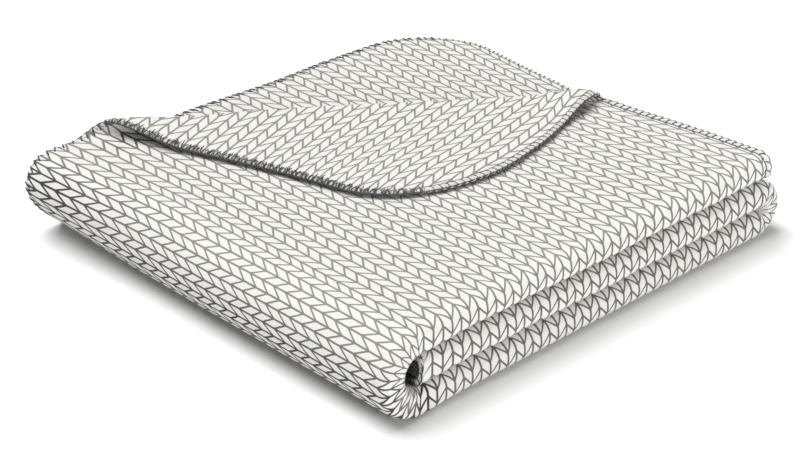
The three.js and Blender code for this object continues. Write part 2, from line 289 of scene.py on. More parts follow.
# %% All folds, one after another
def fold_slipped(down, across, offset):
    """Places that have already slipped askew, folded, as points in metres in the CAD frame."""
    down, across, height = turn_corner(down, across, offset)
    height = height - THICKNESS / 2
    down, height = fold_under(down, height, FIRST_FOLD)
    before_first = rising(down, ROLL["end"] + 100, FIRST_FOLD["at"])
    down = down - FIRST_FOLD_SETBACK * fading(across, 0, 200) * before_first
    down, height = fold_under(down, height, ROLL, pressed_square(folded_x(across)))
    across, height = fold_under(across, height, BACK_FOLD)
    across, height = fold_under(across, height, WIDE_FOLD)
    x, y, z = settle(TOP_WIDTH - across, TOP_DEPTH - down, HEIGHT + height)
    return np.stack([x - FOOTPRINT_MIDDLE[0], y - FOOTPRINT_MIDDLE[1], z], -1) / 1000


def fold_cloth(down, across, offset):
    """Places on the flat cloth, folded, as points in metres in the CAD frame."""
    down, across, offset = np.broadcast_arrays(
        np.asarray(down, float), np.asarray(across, float), np.asarray(offset, float)
    )
    return fold_slipped(*slip_askew(down, across), offset)


print("The turned corner's tip lies at", fold_cloth(28, 28, -2.5).round(3), "metres")

# %% [markdown]
# The flat cloth as a grid
#
# The cloth is divided by lines down and across. They are close together in the bends, and every layer over
# the same panel is divided at the same places, so two layers never cut into each other between the lines.
# The outline stops a little inside the real edge, where the rolled edge takes over.

# %% Lines down and across
EDGE_INSET = 3.2
EDGE_LINES = np.array([EDGE_INSET, 6.0, 9.0, 13.0])
GRID_STEP = 11.0
BEND_STEPS = {"wide": 32, "back": 22, "roll": 16, "first": 8}


def bend_lines(fold, steps):
    return fold["at"] + fold["bend"] * np.arange(steps + 1) / steps


def panel_lines(start, direction, size):
    count = math.ceil(size / GRID_STEP)
    return start + direction * GRID_STEP * np.arange(1, count)


def in_order(*groups):
    lines = np.unique(np.concatenate(groups).round(6))
    return lines[(lines >= EDGE_INSET) & (lines <= LENGTH - EDGE_INSET)]


half_down = np.concatenate([
    panel_lines(ROLL["at"], -1, TOP_DEPTH),
    bend_lines(ROLL, BEND_STEPS["roll"]),
    panel_lines(ROLL["end"], 1, TOP_DEPTH - SECOND_SETBACK - FIRST_FOLD_SETBACK),
])
down_lines = in_order(
    EDGE_LINES,
    half_down,
    bend_lines(FIRST_FOLD, BEND_STEPS["first"]),
    FIRST_FOLD["at"] + FIRST_FOLD["end"] - half_down,
    LENGTH - EDGE_LINES,
)
across_lines = in_order(
    EDGE_LINES,
    panel_lines(TOP_WIDTH, -1, TOP_WIDTH),
    bend_lines(WIDE_FOLD, BEND_STEPS["wide"]),
    panel_lines(WIDE_FOLD["end"], 1, BOTTOM_WIDTH),
    bend_lines(BACK_FOLD, BEND_STEPS["back"]),
    panel_lines(BACK_FOLD["end"], 1, BOTTOM_WIDTH + INNER_REACH - EDGE_INSET),
    WIDTH - EDGE_LINES,
)
across_lines = across_lines[across_lines <= WIDTH - EDGE_INSET]
print(len(down_lines), "lines down and", len(across_lines), "lines across")

# %% [markdown]
# Cutting the corners round
#
# Some grid cells have to be cut: at the four round corners, and along the loop of the turned corner, so
# that the mesh follows the loop. Each cell is a small convex polygon, and a cut keeps one side of a line.
# A boolean modifier could do this too, but cutting the polygons ourselves keeps the place on the flat
# cloth with every new point, and the print needs that later.

# %% Cutting a polygon
CORNER_STEPS = 14
LOOP_STEPS = 12
DESCENT_STEPS = 8
ROUND = 96
SECOND_ROUND = 75
CORNERS = [(0, 0, ROUND), (0, WIDTH, ROUND), (LENGTH, 0, SECOND_ROUND), (LENGTH, WIDTH, ROUND)]


def split(polygon, measure):
    """The parts of a polygon where the measure is below and above 0."""
    below, above = [], []
    for place, after in zip(polygon, polygon[1:] + polygon[:1]):
        here, there = measure(place), measure(after)
        if here <= 0:
            below.append(place)
        if here >= 0:
            above.append(place)
        if here * there < 0:
            share = here / (here - there)
            cut = tuple(a + share * (b - a) for a, b in zip(place, after))
            below.append(cut)
            above.append(cut)
    return below, above


def corner_cuts(corner_down, corner_across, radius):
    """The centre of a round corner, and measures that are above 0 outside it."""
    sign_down = 1 if corner_down == 0 else -1
    sign_across = 1 if corner_across == 0 else -1
    centre = (corner_down + sign_down * radius, corner_across + sign_across * radius)
    reach = (radius - EDGE_INSET) * math.cos(math.pi / 4 / CORNER_STEPS)

    def cut(angle):
        toward = (-sign_down * math.cos(angle), -sign_across * math.sin(angle))
        return lambda p: (p[0] - centre[0]) * toward[0] + (p[1] - centre[1]) * toward[1] - reach

    angles = [(i + 0.5) / CORNER_STEPS * math.pi / 2 for i in range(CORNER_STEPS)]
    return centre, sign_down, sign_across, [cut(angle) for angle in angles]


print("The cloth has", len(CORNERS), "round corners of", SECOND_ROUND, "to", ROUND, "mm")

# %% The cells of the cloth
def loop_measure(turn, descent):
    """A measure that changes sign at a part of the loop's turn, or of the way down to rest."""

    def measure(place):
        _, radius, past = loop_at(place[2], place[3])
        return float(past - turn * radius - descent * REST_DISTANCE)

    return measure


loop_cuts = [loop_measure(np.pi * i / LOOP_STEPS, 0) for i in range(LOOP_STEPS + 1)]
loop_cuts += [loop_measure(np.pi, (i + 1) / DESCENT_STEPS) for i in range(DESCENT_STEPS)]
round_corners = [corner_cuts(*corner) for corner in CORNERS]


def rounded(cell):
    """A cell of the grid, cut where it passes a round corner."""
    for centre, sign_down, sign_across, cuts in round_corners:
        beyond_down = any((centre[0] - p[0]) * sign_down > 0 for p in cell)
        beyond_across = any((centre[1] - p[1]) * sign_across > 0 for p in cell)
        for cut in cuts if beyond_down and beyond_across else []:
            cell = split(cell, cut)[0]
    return cell


def cloth_cells():
    """Polygons whose points are (down, across, slipped down, slipped across)."""
    cells = []
    for d0, d1 in zip(down_lines[:-1], down_lines[1:]):
        for a0, a1 in zip(across_lines[:-1], across_lines[1:]):
            cell = rounded([(d0, a0), (d0, a1), (d1, a1), (d1, a0)])
            if len(cell) < 3:
                continue
            downs, acrosses = np.array(cell).T
            slipped = np.stack(slip_askew(downs, acrosses), -1)
            rest = [(*place, *moved) for place, moved in zip(cell, slipped.tolist())]
            if d1 <= ROLL["at"] + 1e-6 and a1 <= WIDE_FOLD["at"] + 1e-6:
                pasts = [loop_cuts[0](p) for p in rest]
                for cut in loop_cuts if max(pasts) > 0 else []:
                    below, rest = split(rest, cut)
                    cells.append(below)
                    if len(rest) < 3:
                        break
            cells.append(rest)
    return cells


cells = cloth_cells()
print("The cloth has", len(cells), "cells")

# %% [markdown]
# Two faces and a rim
#
# A cloth this thick has two faces. The same cells are used for both: once folded a little above the middle
# of the cloth, and once, turned round, a little below it. A rim closes the mesh along the outline.
# Blender's Solidify modifier would do the same for an even cloth, but here the two faces carry different
# prints, so it is simpler to make both at once.


# %% Joining the cells
def shared_points(polygons):
    """The different points of all polygons, and the polygons as numbers of those points."""
    numbers, points, faces = {}, [], []
    for polygon in polygons:
        face = []
        for place in polygon:
            key = (round(place[0] * 500), round(place[1] * 500))
            if key not in numbers:
                numbers[key] = len(points)
                points.append(place)
            if numbers[key] not in face:
                face.append(numbers[key])
        if len(face) > 2:
            faces.append(face)
    return np.array(points), faces


def open_sides(faces):
    """The sides that only one face has."""
    sides = {}
    for face in faces:
        for a, b in zip(face, face[1:] + face[:1]):
            if (b, a) in sides:
                del sides[(b, a)]
            else:
                sides[(a, b)] = True
    return list(sides)


points, upper_faces = shared_points(cells)
rim = open_sides(upper_faces)
print(len(points), "points on each face,", len(rim), "sides along the outline")

# %% [markdown]
# Where the print lies
#
# The print is a herringbone: straight lines down the cloth, with a zigzag of strokes between them. A
# printed cloth is never quite even, so the columns drift, the strokes lie further apart near the turned
# corner, and both are pressed closer where the cloth is wrapped round a fold. Each point of the mesh gets
# its place in the print, counted in columns and in strokes, and stored as a UV map. The material then
# only has to draw lines at whole numbers.

# %% Place in the print
COLUMN = 9.03
STROKE = 13.3
ZIGZAG = 0.885
COLUMN_AT, COLUMN_PHASE = 362.0, 0.13
DRIFT, DRIFT_LENGTH = 0.2, 253.0
STROKE_AT, STROKE_PHASE = 309.7, 0.04
STROKES_PER_100 = 7.585
SPREAD, SPREAD_AT_CORNER = 0.079, 0.11
CLOSER_ON_FOLD, CLOSER_ON_ROLL = 0.33, 0.5
LOWER_COLUMN_AT = 115.8
LOWER_COLUMN_LEFT, LOWER_COLUMN_RIGHT = 9.55, 8.78
LOWER_STROKE_AT, LOWER_STROKE = 46.0, 14.9


def upper_print(down, across):
    """The place in the print on the face that starts on top, in columns and strokes."""
    on_top = np.minimum(across, TOP_WIDTH)
    drift = DRIFT * np.sin(2 * np.pi * (on_top - 11) / DRIFT_LENGTH)
    folded = np.clip(across - TOP_WIDTH, 0, WIDE_FOLD["bend"])
    columns = (across - COLUMN_AT + CLOSER_ON_FOLD * folded) / COLUMN - COLUMN_PHASE + drift
    reach = (np.minimum(down, TOP_DEPTH) - STROKE_AT) / 100
    rolled = np.clip(down - TOP_DEPTH, 0, ROLL["bend"])
    after = down - np.minimum(down, TOP_DEPTH) + CLOSER_ON_ROLL * rolled
    spread = SPREAD * reach**2 + SPREAD_AT_CORNER * reach**3
    return columns, STROKE_PHASE + STROKES_PER_100 * reach - spread + after / STROKE


def lower_print(down, across):
    """The place in the print on the other face, which is a little larger."""
    aside = across - LOWER_COLUMN_AT
    columns = np.where(aside > 0, aside / LOWER_COLUMN_LEFT, aside / LOWER_COLUMN_RIGHT)
    return columns, (down - LOWER_STROKE_AT) / LOWER_STROKE + ZIGZAG / 2


print(f"The print repeats about {WIDTH / COLUMN:.0f} times across the cloth")

# %% How much painted shade darkens the ink
ROLL_INK_SHADE = 0.55
PAST_FOLD_LIGHTER = 0.42
LOW_DARKER = 0.3
BENEATH_SHADE = 0.1
GATHERED_LIGHTER = 0.3
LIP = 17.0


def painted_ink_shade(down, across, on_top):
    """How much darker the ink is painted, as painted shade: 0 on the flat top of the stack, and 1 on the
    round fold.
    """
    # The ink is painted darker, as painted shade, on the round fold and near its tip, low on the fold, and
    # on the rolls.
    near_tip = fading(down, 30, 190)
    in_wide = np.maximum(rising(across, 400, 450), rising(across, 384, 424) * near_tip)
    past_wide = np.where(down > 396, rising(across, 484, 520), rising(across, 500, 560))
    low = rising(across, 440, 475) * (1 - past_wide)
    in_rolls = rising(down, 396, 425) * fading(down, 900, 1000)
    # A painted shadow: the ink on the top layer is darker just under the turned corner.
    shadow_under_corner = on_top * fading(np.hypot(down - 34, (across - 322) / 1.8), 12, 32)
    folded = np.maximum(in_wide - PAST_FOLD_LIGHTER * past_wide, ROLL_INK_SHADE * in_rolls)
    return folded * (1 + LOW_DARKER * low) + shadow_under_corner


def painted_shade_and_ink_fade_share(down, across):
    """Painted shade: 1 inside the round fold, where hardly any light comes, and a little low on the fold;
    below 0 where the ink fades, as where the print gathers.
    """
    # Painted shade: the inside of the round fold is painted nearly black, and low on the fold a little
    # darker.
    in_fold = rising(across, 376, 392) * fading(across, 480, 500)
    gathered = rising(across, 445, 458) * fading(across, 476, 492) * rising(down, 408, 416)
    lip = LIP * (fading(across, 392, 424) + rising(across, 458, 480))
    inside = rising(down - lip, 426, 433) * fading(down, 800, 850)
    rolled_end = rising(across - WIDTH, -14, -10) * fading(abs(down - 416), 16, 26)
    beneath = rising(across, 440, 480) * fading(across, 500, 540) * fading(down, 380, 400)
    seen = BENEATH_SHADE * beneath - GATHERED_LIGHTER * gathered - rolled_end
    return np.where(inside * in_fold > 0, inside * in_fold, seen)


# The depth of the ink printed here is the painted shade of the ink on the roll.
print(f"On the roll the depth of the ink is {painted_ink_shade(ROLL['at'] + 24, 200.0, 1):.2f}")

# %% The cloth mesh
def make_object(name, vertices, faces, maps=(), values=(), smooth=True):
    """A mesh object. A map has a pair for each corner of each face, a value one for each point."""
    mesh = bpy.data.meshes.new(name)
    mesh.from_pydata(vertices.tolist(), [], faces)
    for map_name, pairs in maps:
        layer = mesh.uv_layers.new(name=map_name)
        layer.uv.foreach_set("vector", np.asarray(pairs, np.float32).ravel())
    for value_name, numbers in values:
        attribute = mesh.attributes.new(value_name, "FLOAT", "POINT")
        attribute.data.foreach_set("value", numbers.astype(np.float32))
    mesh.polygons.foreach_set("use_smooth", [smooth] * len(mesh.polygons))
    mesh.update()
    piece = bpy.data.objects.new(name, mesh)
    bpy.context.scene.collection.objects.link(piece)
    return piece


def edge_distance(down, across):
    """How far in from the outline a place on the flat cloth is."""
    distance = np.minimum(np.minimum(down, LENGTH - down), np.minimum(across, WIDTH - across))
    for corner_down, corner_across, radius in CORNERS:
        past_down = radius - np.abs(down - corner_down)
        past_across = radius - np.abs(across - corner_across)
        in_corner = (past_down > 0) & (past_across > 0)
        distance = np.where(in_corner, radius - np.hypot(past_down, past_across), distance)
    return distance


DRAWN_TOGETHER = 0.64


def half_thickness(inward):
    """Half the thickness of the cloth, which the stitches draw together at the edge."""
    opened = DRAWN_TOGETHER + (1 - DRAWN_TOGETHER) * rising(inward, EDGE_INSET, 13)
    return THICKNESS / 2 * opened


half = half_thickness(edge_distance(points[:, 0], points[:, 1]))
upper = fold_slipped(points[:, 2], points[:, 3], half)
lower = fold_slipped(points[:, 2], points[:, 3], -half)
count = len(points)
lower_faces = [[n + count for n in reversed(face)] for face in upper_faces]
side_faces = [[a, a + count, b + count, b] for a, b in rim]
all_faces = upper_faces + lower_faces + side_faces
flat = np.tile(points[:, :2], (2, 1))
print_places = np.concatenate([
    np.stack(upper_print(points[:, 0], points[:, 1]), -1),
    np.stack(lower_print(points[:, 0], points[:, 1]), -1),
])
corner_numbers = np.concatenate([np.array(face) for face in all_faces])
cloth = make_object(
    "folded_cloth",
    np.concatenate([upper, lower]),
    all_faces,
    [("print", print_places[corner_numbers]), ("flat", flat[corner_numbers] / 1000)],
    [
        ("painted ink shade", painted_ink_shade(flat[:, 0], flat[:, 1], np.repeat([1, 0], count))),
        ("painted_shade_and_ink_fade", painted_shade_and_ink_fade_share(flat[:, 0], flat[:, 1])),
    ],
)
print("The cloth has", len(cloth.data.polygons), "faces")

# %% [markdown]
# The outline of the cloth
#
# The edge and its stitches run all the way round the cloth, nearly six metres. To place them, we need to
# say "this far along the outline, and this far in from the edge" and get a place on the flat cloth. The
# outline is four straight sides and four quarter circles, so this is a short walk round them.


# %% Walking round the outline
def outline_parts():
    """Straight sides and quarter circles as (start, length, down, across, direction, radius)."""
    near, right, far, left = CORNERS[0][2], CORNERS[1][2], CORNERS[3][2], CORNERS[2][2]
    quarter = math.pi / 2
    parts, start = [], 0.0
    for length, down, across, direction, radius in [
        (WIDTH - near - right, 0, near, 0, 0),
        (right * quarter, right, WIDTH - right, 0, right),
        (LENGTH - right - far, right, WIDTH, 1, 0),
        (far * quarter, LENGTH - far, WIDTH - far, 1, far),
        (WIDTH - far - left, LENGTH, WIDTH - far, 2, 0),
        (left * quarter, LENGTH - left, left, 2, left),
        (LENGTH - left - near, LENGTH - left, 0, 3, 0),
        (near * quarter, near, near, 3, near),
    ]:
        parts.append((start, length, down, across, direction, radius))
        start += length
    return parts, start


OUTLINE, PERIMETER = outline_parts()
FIRST_ROUND_MIDDLE, SECOND_ROUND_MIDDLE, THIRD_ROUND_MIDDLE, TIP = [
    OUTLINE[i][0] + OUTLINE[i][1] / 2 for i in (1, 3, 5, 7)
]
SIDE_RANGES = [(FIRST_ROUND_MIDDLE, SECOND_ROUND_MIDDLE), (THIRD_ROUND_MIDDLE, TIP)]
END_RANGES = [(SECOND_ROUND_MIDDLE, THIRD_ROUND_MIDDLE), (TIP, PERIMETER + FIRST_ROUND_MIDDLE)]
TURNED_SIDE = (OUTLINE[7][0] - 150, TIP)
TURNED_END = (TIP, PERIMETER + 250)


def outline_place(along, inward):
    """The place on the flat cloth at a distance along the outline, and inward from it."""
    along = np.asarray(along, float) % PERIMETER
    along, inward = np.broadcast_arrays(along, np.asarray(inward, float))
    down, across = np.zeros(along.shape), np.zeros(along.shape)
    for start, length, part_down, part_across, direction, radius in OUTLINE:
        here = (along >= start) & (along <= start + length)
        step = along - start
        turn = direction * math.pi / 2 + (step / radius if radius else 0)
        out_down, out_across = -np.cos(turn), np.sin(turn)
        if radius:
            place_down = part_down + (radius - inward) * out_down
            place_across = part_across + (radius - inward) * out_across
        else:
            place_down = part_down + step * out_across - inward * out_down
            place_across = part_across - step * out_down - inward * out_across
        down, across = np.where(here, place_down, down), np.where(here, place_across, across)
    return down, across


print(f"The edge is {PERIMETER / 1000:.2f} m long")

# %% [markdown]
# The worked edge
#
# Yarn is worked over the edge all the way round, about every six millimetres. On the two ends it pulls the
# cloth into a plain round rim. On the long sides it is thicker and wraps the edge slantwise, so the rim
# swells between the turns like a cord. Both are one tube of rings. A ring is smaller where the yarn holds
# it, and on the long sides the swelling leans over.

# %% Rings round the edge
STITCHES = int(round(PERIMETER / 6.3))
PITCH = PERIMETER / STITCHES
RINGS_PER_STITCH = 6
RING_SIDES = 12
SIDE_LEAN = -0.24
SOFT_CHANGE = 12
RIM_REACH, RIM_HALF_HEIGHT = 3.2, 1.8
ROPE_WIDER, ROPE_HIGHER = 0.4, 1.7
ROPE_INSET, ROPE_TILT = 0.1, 0.5
PINCH, SIDE_PINCH, ROPE_PINCH = 0.12, 0.18, 0.65
LOW_PINCH = 0.9


def side_share(along):
    """1 on the long sides of the cloth, 0 on its two ends, with a soft change at the corners."""
    places = np.asarray(along, float) % PERIMETER
    on_side = np.zeros(places.shape)
    for start, end in SIDE_RANGES:
        begun = rising(places, start - SOFT_CHANGE, start + SOFT_CHANGE)
        on_side = on_side + begun * fading(places, end - SOFT_CHANGE, end + SOFT_CHANGE)
    return on_side


def rim_profile(along, angle, outside=0.0):
    """How far in and how high the rim is, at an angle round it from its outermost line."""
    on_side = side_share(along)
    leaning = along / PITCH - SIDE_LEAN * on_side * np.cos(angle)
    swell = 0.5 - 0.5 * np.cos(2 * np.pi * leaning)
    above = on_side * (0.5 + 0.5 * np.tanh(3 * np.sin(angle)))
    pinch = (PINCH + SIDE_PINCH * on_side + ROPE_PINCH * above) * (1 - swell)
    reach = RIM_REACH + ROPE_WIDER * above - pinch + outside
    half_height = RIM_HALF_HEIGHT + ROPE_HIGHER * above - LOW_PINCH * pinch + outside
    inset = EDGE_INSET + on_side * (ROPE_INSET + ROPE_TILT * np.sin(angle))
    return inset - reach * np.cos(angle), half_height * np.sin(angle)


def rim_point(along, angle):
    inward, height = rim_profile(along, angle)
    down, across = outline_place(along, inward)
    return fold_cloth(down, across, height)


rings = STITCHES * RINGS_PER_STITCH
ring_along = np.arange(rings) * PERIMETER / rings
ring_angle = np.arange(RING_SIDES) * 2 * np.pi / RING_SIDES
along_grid, angle_grid = np.meshgrid(ring_along, ring_angle, indexing="ij")
rim_points = rim_point(along_grid, angle_grid).reshape(-1, 3)
print(STITCHES, "stitches of", round(PITCH, 2), "mm, and", rings, "rings round the edge")

# %% The mesh of the rim
YARN_REACH = 3.3
END_SHADE, SIDE_SHADE = 0.3, 0.16
FLAT_PER_RADIAN = 3.0
ring_index = np.arange(rings)[:, None]
side_index = np.arange(RING_SIDES)[None, :]
next_ring = (ring_index + 1) % rings
next_side = (side_index + 1) % RING_SIDES
rim_faces = np.stack([
    ring_index * RING_SIDES + side_index,
    next_ring * RING_SIDES + side_index,
    next_ring * RING_SIDES + next_side,
    ring_index * RING_SIDES + next_side,
], -1).reshape(-1, 4)
corner_ring = np.stack([ring_index, ring_index + 1, ring_index + 1, ring_index], -1)
corner_side = np.stack([side_index, side_index, side_index + 1, side_index + 1], -1)
corner_ring, corner_side = np.broadcast_arrays(corner_ring, corner_side)
corner_along = corner_ring * PERIMETER / rings
corner_angle = corner_side * 2 * np.pi / RING_SIDES
corner_inward = EDGE_INSET - YARN_REACH * np.cos(corner_angle)
corner_down, corner_across = outline_place(corner_along, corner_inward)
on_upper = np.sin(corner_angle.mean(-1))[:, :, None, None] > 0
rim_print = np.where(
    on_upper,
    np.stack(upper_print(corner_down, corner_across), -1),
    np.stack(lower_print(corner_down, corner_across), -1),
)
rim_flat = np.stack([corner_along, corner_angle * FLAT_PER_RADIAN], -1) / 1000
ring_places = along_grid.ravel()
rim_down, rim_across = outline_place(ring_places, EDGE_INSET)
# Painted shade on the rim: nearly black in the hole of the round fold, and darker along the turned corner's
# edge.
hole_painted_shade = rising(rim_across, WIDTH - 60, WIDTH - 30) * rising(abs(rim_down - 413), 13, 20)
outer_part = rising(np.cos(angle_grid.ravel()), -0.5, 0.3) * (1 - side_share(ring_places))
on_turned_end = fading(rim_down, 30, 60) * fading(rim_across, 330, 350) * outer_part
on_turned_side = rising(ring_places, TURNED_SIDE[0] - 6, TURNED_SIDE[0]) * (ring_places < TIP)
rim_painted_shade = np.max([hole_painted_shade, END_SHADE * on_turned_end, SIDE_SHADE * on_turned_side], axis=0)
edge_rim = make_object(
    "edge_rim",
    rim_points,
    rim_faces.tolist(),
    [("print", rim_print), ("flat", rim_flat)],
    [
        ("painted ink shade", painted_ink_shade(rim_down, rim_across, 0)),
        ("painted_shade_and_ink_fade", rim_painted_shade),
    ],
)
print("The rim has", len(edge_rim.data.polygons), "faces")

# %% [markdown]
# Yarn as swept tubes
#
# Every piece of yarn is a thin tube swept along a path. The path is given on the flat cloth, as distances
# along the outline and inward from it and a height above the middle of the cloth, and the fold formulas
# carry it to its place. A curve object with a bevel could do the same, but thousands of short curves are
# slow, and one mesh for a whole row of stitches is quick to make and to render.


# %% Sweeping a tube
def sweep(paths_along, paths_in, paths_height, radii, sides=5):
    """Round tubes along the folded paths, one in each row, as vertices and faces."""
    down, across = outline_place(paths_along, paths_in)
    line = fold_cloth(down, across, paths_height)
    down, across = outline_place(paths_along, np.full(paths_in.shape, EDGE_INSET + 1))
    heart = fold_cloth(down, across, np.zeros(paths_in.shape))
    forward = np.gradient(line, axis=1)
    forward /= np.maximum(np.linalg.norm(forward, axis=2, keepdims=True), 1e-9)
    outward = line - heart
    outward -= (outward * forward).sum(2, keepdims=True) * forward
    outward /= np.maximum(np.linalg.norm(outward, axis=2, keepdims=True), 1e-9)
    aside = np.cross(forward, outward)
    angle = np.arange(sides) * 2 * np.pi / sides
    circle = np.cos(angle)[:, None] * outward[:, :, None] + np.sin(angle)[:, None] * aside[:, :, None]
    radii = np.broadcast_to(radii, paths_in.shape)[:, :, None, None] / 1000
    vertices = line[:, :, None] + circle * radii
    vertices[..., 2] = np.maximum(vertices[..., 2], 0.0)
    tubes, stations = line.shape[:2]
    base = (np.arange(tubes) * stations * sides)[:, None, None]
    start = base + (np.arange(stations - 1) * sides)[None, :, None]
    side = np.arange(sides)[None, None, :]
    after = (side + 1) % sides
    faces = np.stack([start + side, start + sides + side, start + sides + after, start + after], -1)
    faces = faces.reshape(-1, 4).tolist()
    last = (stations - 1) * sides
    for first in base.ravel().tolist():
        faces.append([first + k for k in range(sides)])
        faces.append([first + last + k for k in reversed(range(sides))])
    return vertices.reshape(-1, 3), faces


def join_tubes(name, parts):
    """One object from several lots of swept tubes."""
    vertices, faces, start = [], [], 0
    for part_vertices, part_faces in parts:
        vertices.append(part_vertices)
        faces += [[start + n for n in face] for face in part_faces]
        start += len(part_vertices)
    piece = make_object(name, np.concatenate(vertices), faces)
    print(name, "has", sum(len(face) - 2 for face in faces), "triangles")
    return piece


CORD_STEP = 1.6
CORD_SWELL = 0.2


def cord(start, end, inward, height, radius, unevenness=0.3):
    """A long thin tube beside the outline, a little uneven in place and thickness."""
    places = np.arange(start, end, CORD_STEP)[None, :]
    shaken = unevenness * np.sin(2 * np.pi * places / PITCH + 0.8 * np.sin(places / 23))
    radii = radius * (1 + CORD_SWELL * np.sin(2 * np.pi * places / (PITCH / 2) + places / 31))
    return sweep(places, inward + shaken, height + 0 * places, radii)


def rim_cord(start, end, angle, radius):
    """A long thin tube that follows the swellings of the rim."""
    places = np.arange(start, end, PITCH / RINGS_PER_STITCH)[None, :]
    inward, height = rim_profile(places, angle, 0.1)
    return sweep(places, inward, height, radius)


# %% [markdown]
# The stitches on the two ends
#
# On the ends a dark cord of yarn lies along the edge, and from it fine threads fork out over both faces of
# the cloth like small twigs. Each stitch has one long thread and two shorter ones that lean to either
# side. Their lengths and angles vary, from a fixed seed so that each run gives the same blanket.

# %% Threads over the edge
YARN_HALF_HEIGHT = 2.05
YARN_OUTERMOST = -0.15
seeded = np.random.default_rng(27)
fuzz_seeded = np.random.default_rng(72)


def over_the_edge(depth, swerve, place):
    """Paths that go in over one face, round the rim and in over the other, one for each place."""
    rim_angle = np.radians([90, 60, 30])
    inward = EDGE_INSET + (depth[:, None] - EDGE_INSET) * np.array([1.0, 0.66, 0.33])
    round_rim = np.tile(EDGE_INSET - YARN_REACH * np.cos(rim_angle), (len(depth), 1))
    round_height = np.tile(YARN_HALF_HEIGHT * np.sin(rim_angle), (len(depth), 1))
    outermost = np.full((len(depth), 1), YARN_OUTERMOST)
    height = np.concatenate([half_thickness(inward) + [-0.1, 0.15, 0.3], round_height], 1)
    one_half = np.concatenate([inward, round_rim], 1)
    paths_in = np.concatenate([one_half, outermost, one_half[:, ::-1]], 1)
    paths_height = np.concatenate([height, 0 * outermost, -height[:, ::-1]], 1)
    spread = np.array([1.0, 0.85, 0.7, 0.52, 0.36, 0.2])
    spread = np.concatenate([spread, [0], spread[::-1]])
    return place[:, None] + swerve[:, None] * spread, paths_in, paths_height


stitch_along = (np.arange(STITCHES) + 0.5) * PITCH
on_side = side_share(stitch_along) > 0.5
jitter = seeded.uniform(-1, 1, (8, STITCHES))
end_along = stitch_along[~on_side]
end_jitter = jitter[:, ~on_side]
print(len(end_along), "stitches lie on the two ends")

# %% Twigs and cord
# On the edge at the back, away from the turned corner, each stitch shows as one bold thread.
bold = rising(end_along % PERIMETER, 245, 265) * fading(end_along % PERIMETER, 4200, 4210)
long_twigs = over_the_edge(
    depth=7.6 - 0.8 * bold + (2.3 - bold) * end_jitter[0],
    swerve=0.6 + 3.2 * bold + 2.6 * end_jitter[1] * (1 - 0.7 * bold),
    place=end_along + 1.3 * end_jitter[2],
)
right_twigs = over_the_edge(
    depth=5.0 + 2.0 * end_jitter[3],
    swerve=3.3 + 1.6 * end_jitter[4],
    place=end_along + 1.3 * end_jitter[2],
)
left_twigs = over_the_edge(
    depth=4.6 + 2.0 * end_jitter[5],
    swerve=-2.6 + 1.8 * end_jitter[6],
    place=end_along + 1.0 * end_jitter[7],
)
fuzz_along = np.arange(*TURNED_END, 3.6)
fuzz_threads = over_the_edge(
    depth=fuzz_seeded.uniform(4.5, 8, len(fuzz_along)),
    swerve=fuzz_seeded.uniform(-4, 4.5, len(fuzz_along)),
    place=fuzz_along,
)
short_radius = 0.36 - 0.2 * bold[:, None]
end_stitches = join_tubes("end_stitches", [
    sweep(*long_twigs, 0.42 + 0.33 * bold[:, None], sides=4),
    sweep(*right_twigs, short_radius, sides=4),
    sweep(*left_twigs, short_radius, sides=4),
    sweep(*fuzz_threads, 0.22, sides=3),
])
end_cord = join_tubes("end_cord", [
    cord(*TURNED_END, inward=-0.1, height=0.0, radius=0.6, unevenness=0.4),
    cord(TURNED_END[1], END_RANGES[1][1], inward=-0.15, height=0.0, radius=0.35),
    cord(*END_RANGES[0], inward=-0.15, height=0.0, radius=0.35),
])

# %% [markdown]
# The stitches on the long sides
#
# On the long sides each turn of yarn lies slantwise in the groove between two swellings. A thin line of
# yarn follows the inner side of the rim on both faces, and another one its outer side, so each swelling is
# drawn all round. Under the turned corner's edge one more cord shows, where the stitches are locked.

# %% Slanting turns and outlines
TURN_RADIUS = 0.44
side_along = stitch_along[on_side] - 0.5 * PITCH
side_jitter = jitter[:, on_side]
turn_angle = np.linspace(-2.6, 2.6, 15)[None, :]
leaning = SIDE_LEAN * PITCH * np.cos(turn_angle)
turn_along = side_along[:, None] + leaning + 0.3 * side_jitter[0][:, None]
turn_in, turn_height = rim_profile(turn_along, turn_angle, 0.3)
on_turned = rising(side_along, TURNED_SIDE[0] - 6, TURNED_SIDE[0])[:, None]
thinner = 0.2 * on_turned * (turn_angle < 0)
side_stitches = join_tubes("side_stitches", [
    sweep(turn_along, turn_in, turn_height, TURN_RADIUS - thinner),
    *[cord(*ends, inward=7.2, height=2.1, radius=0.42) for ends in SIDE_RANGES],
    *[cord(*ends, inward=4.4, height=-1.75, radius=0.22) for ends in SIDE_RANGES],
    *[rim_cord(*ends, angle=math.radians(52), radius=0.55) for ends in SIDE_RANGES],
    cord(*TURNED_SIDE, inward=0.0, height=0.1, radius=0.5, unevenness=0.4),
])

# %% [markdown]
# Loose ends
#
# Below the turned corner's side edge, short ends of yarn stick out of the stitches. They are longest near
# the crease. Hair particles could make them, but a few swept tubes keep them where the photograph has them.

